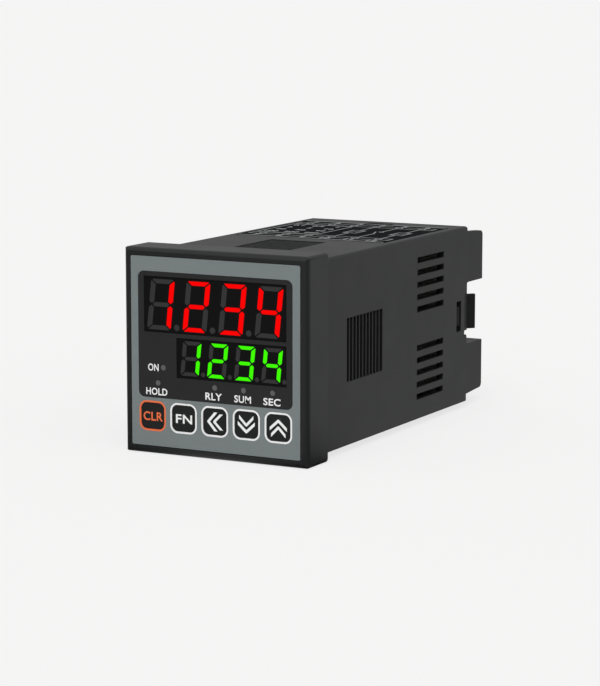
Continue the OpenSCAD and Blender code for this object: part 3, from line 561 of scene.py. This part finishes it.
# At the right, two coils with an open contact between them, each on its wire from row to row
COIL_HALF = Vector((1.7, 3))
CONTACT_HALF = 2.2
CONTACT_SWING = 1.5
PIVOT_RADIUS = 0.5
PIVOT_SIDES = 10
left_coil, contact, right_coil = columns[TERMINALS // 2:]
middle_y = (field_front + field_rear) / 2
coil_front, coil_rear = middle_y - COIL_HALF.y, middle_y + COIL_HALF.y
for x in (left_coil, right_coil):
    left, right = x - COIL_HALF.x, x + COIL_HALF.x
    diagram += box_outline(left, right, coil_front, coil_rear)
    diagram += strip([(left, coil_front), (right, coil_rear)], LABEL_LINE)
    diagram += strip([(x, coil_rear), (x, field_rear)], LABEL_LINE)
    diagram += strip([(x, coil_front), (x, field_front)], LABEL_LINE)
hinge, pivot = middle_y - CONTACT_HALF, middle_y + CONTACT_HALF
diagram += strip([(contact, field_front), (contact, hinge), (contact - CONTACT_SWING, pivot)], LABEL_LINE)
diagram += strip([(contact, field_rear), (contact, pivot)], LABEL_LINE)
diagram += ring(contact, pivot, PIVOT_RADIUS, PIVOT_SIDES)
printed(inked("print_wiring_diagram", diagram), facing_up("wiring_label"), LABEL_INK)

# Terminal numbers on the rear: at the bays' own pitch, along the middle of the wall at their inner ends
BAY_PITCH = 6.8
ROW_WALL_MID = 8.7
TERMINAL_NUMBER_HEIGHT = 1.1
REAR_BOLDNESS = 0.03
numbers = []
for i, off in enumerate(pitches_off):
    x = off * BAY_PITCH
    for number, z in ((i + 1, ROW_WALL_MID), (i + 1 + TERMINALS, -ROW_WALL_MID)):
        numbers += word_at(str(number), x, z, TERMINAL_NUMBER_HEIGHT, REAR_BOLDNESS)
printed(inked("print_terminal_numbers", numbers), facing_rear("terminal_block"), LABEL_INK)


# Studio: pale to the eye; in reflections a dark room with grey walls behind and above, and a grey floor

PALE = "#f6f6f6"
FLOOR_PAINT = "#ecebea"
# Half the floor's width, in metres
FLOOR_HALF = 20
# How much of the floor's brightness is its own, so that its shadow stays light
FLOOR_GLOW = 0.8
EVEN_LIGHT = 0.5
DARK_ROOM = 0.03
GREY_WALLS = 0.52
SIDE_FLOOR = 0.58
FRONT_FLOOR = 0.62
# A zone lies round a direction: the direction, the cosines at its edge and its core, and its brightness
FLOOR_ZONES = (
    ((0.5, 0.866, 0), 0.5, 1, SIDE_FLOOR),
    ((-0.866, 0.5, 0), 0.5, 1, SIDE_FLOOR),
    ((0, -1, 0), 0.3, 0.9, FRONT_FLOOR),
)
WALL_ZONES = (
    ((0, 1, 0), 0, 0.5, GREY_WALLS),
    ((0, 0, 1), -0.05, 0.45, GREY_WALLS),
)


def mirrored_tone(tree, toward, zones):
    """How bright the studio is in a reflection: the brightest of its zones, each round one direction."""
    tone = DARK_ROOM
    for middle, edge, core, brightness in zones:
        near = add(tree, "ShaderNodeVectorMath", {0: toward, 1: middle}, operation="DOT_PRODUCT")
        zone = add(tree, "ShaderNodeMapRange", {
            "Value": near.outputs["Value"],
            "From Min": edge,
            "From Max": core,
            "To Min": DARK_ROOM,
            "To Max": brightness,
        })
        brighter = add(tree, "ShaderNodeMath", {0: tone, 1: zone.outputs["Result"]}, operation="MAXIMUM")
        tone = brighter.outputs[0]
    return tone


def gloss_share(tree, ray):
    """Is 1 for the rays that show in reflections and through glass."""
    either = add(tree, "ShaderNodeMath", {0: ray["Is Glossy Ray"], 1: ray["Is Transmission Ray"]},
                 operation="MAXIMUM")
    return either.outputs[0]


def pale_floor():
    """A seamless floor: bright to the eye with a light shadow, and the room's tones in reflections."""
    material = bpy.data.materials.new("studio_floor")
    material.use_nodes = True
    tree = material.node_tree
    tree.nodes.clear()
    place = add(tree, "ShaderNodeTexCoord").outputs["Object"]
    along = add(tree, "ShaderNodeVectorMath", {0: place, 1: (1, 1, 0)}, operation="MULTIPLY")
    toward = add(tree, "ShaderNodeVectorMath", {0: along.outputs["Vector"]}, operation="NORMALIZE")
    ray = add(tree, "ShaderNodeLightPath").outputs
    tone = mirrored_tone(tree, toward.outputs["Vector"], FLOOR_ZONES)
    mirrored = add(tree, "ShaderNodeEmission", {"Color": linear(PALE), "Strength": tone})
    glow = add(tree, "ShaderNodeEmission", {"Color": linear(PALE)})
    matt = add(tree, "ShaderNodeBsdfDiffuse", {"Color": linear(FLOOR_PAINT)})
    share = add(tree, "ShaderNodeMath", {0: ray["Is Camera Ray"], 1: FLOOR_GLOW}, operation="MULTIPLY")
    seen = add(tree, "ShaderNodeMixShader", {0: share.outputs[0], 1: matt.outputs[0], 2: glow.outputs[0]})
    all_rays = add(tree, "ShaderNodeMixShader", {
        0: gloss_share(tree, ray), 1: seen.outputs[0], 2: mirrored.outputs[0]})
    add(tree, "ShaderNodeOutputMaterial", {"Surface": all_rays.outputs[0]})
    mesh = bpy.data.meshes.new("floor")
    ends = (-FLOOR_HALF, FLOOR_HALF)
    mesh.from_pydata([(x, y, cad_low.z) for y in ends for x in ends], [], [(0, 1, 3, 2)])
    mesh.materials.append(material)
    floor = bpy.data.objects.new("floor", mesh)
    bpy.context.scene.collection.objects.link(floor)


def pale_surround():
    """Pale to the eye, with the room's tones in reflections, and an even light on matt surfaces."""
    world = bpy.data.worlds.new("studio")
    world.use_nodes = True
    bpy.context.scene.world = world
    tree = world.node_tree
    tree.nodes.clear()
    ray = add(tree, "ShaderNodeLightPath").outputs
    toward = add(tree, "ShaderNodeTexCoord").outputs["Generated"]
    tone = mirrored_tone(tree, toward, WALL_ZONES)
    mirrored = add(tree, "ShaderNodeBackground", {"Color": linear(PALE), "Strength": tone})
    even = add(tree, "ShaderNodeBackground", {"Color": linear("#ffffff"), "Strength": EVEN_LIGHT})
    backdrop = add(tree, "ShaderNodeBackground", {"Color": linear(PALE)})
    lit = add(tree, "ShaderNodeMixShader", {
        0: gloss_share(tree, ray), 1: even.outputs[0], 2: mirrored.outputs[0]})
    seen = add(tree, "ShaderNodeMixShader", {
        0: ray["Is Camera Ray"], 1: lit.outputs[0], 2: backdrop.outputs[0]})
    add(tree, "ShaderNodeOutputWorld", {"Surface": seen.outputs[0]})


def soft_sun(name, toward, strength, spread):
    """A far lamp in the given direction, as many degrees wide as a soft box looks from the object."""
    light = bpy.data.lights.new(name, "SUN")
    light.energy = strength
    light.angle = math.radians(spread)
    lamp = bpy.data.objects.new(name, light)
    lamp.rotation_mode = "QUATERNION"
    lamp.rotation_quaternion = Vector(toward).to_track_quat("Z", "Y")
    bpy.context.scene.collection.objects.link(lamp)


pale_floor()
pale_surround()
soft_sun("overhead_box", (0.2, -0.5, 0.8), strength=1.8, spread=50)
soft_sun("right_box", (1, 0.1, 0.3), strength=0.5, spread=60)
soft_sun("left_box", (-1, 0.35, 0.08), strength=0.5, spread=60)

# The photograph's view: the point it is aimed at, and how far off and at what angle the camera is
AIM = Vector((0.92, 30, -2.19)) * MM
CAMERA_OFF = 603.1 * MM
AZIMUTH = math.radians(27.87)
ELEVATION = math.radians(8.7)
FOCAL_PIXELS = 2501.5
PHOTO_LONG_SIDE = 686

lens = bpy.data.cameras.new("camera")
lens.sensor_width = 36
lens.lens = FOCAL_PIXELS / PHOTO_LONG_SIDE * lens.sensor_width
lens.clip_start = 0.01
lens.clip_end = 100
camera = bpy.data.objects.new("camera", lens)
level = Vector((math.sin(AZIMUTH), -math.cos(AZIMUTH), 0))
back = level * math.cos(ELEVATION) + Vector((0, 0, math.sin(ELEVATION)))
camera.location = AIM + back * CAMERA_OFF
camera.rotation_mode = "QUATERNION"
camera.rotation_quaternion = back.to_track_quat("Z", "Y")
bpy.context.scene.collection.objects.link(camera)
bpy.context.scene.camera = camera
bpy.context.scene.view_settings.view_transform = "Standard"
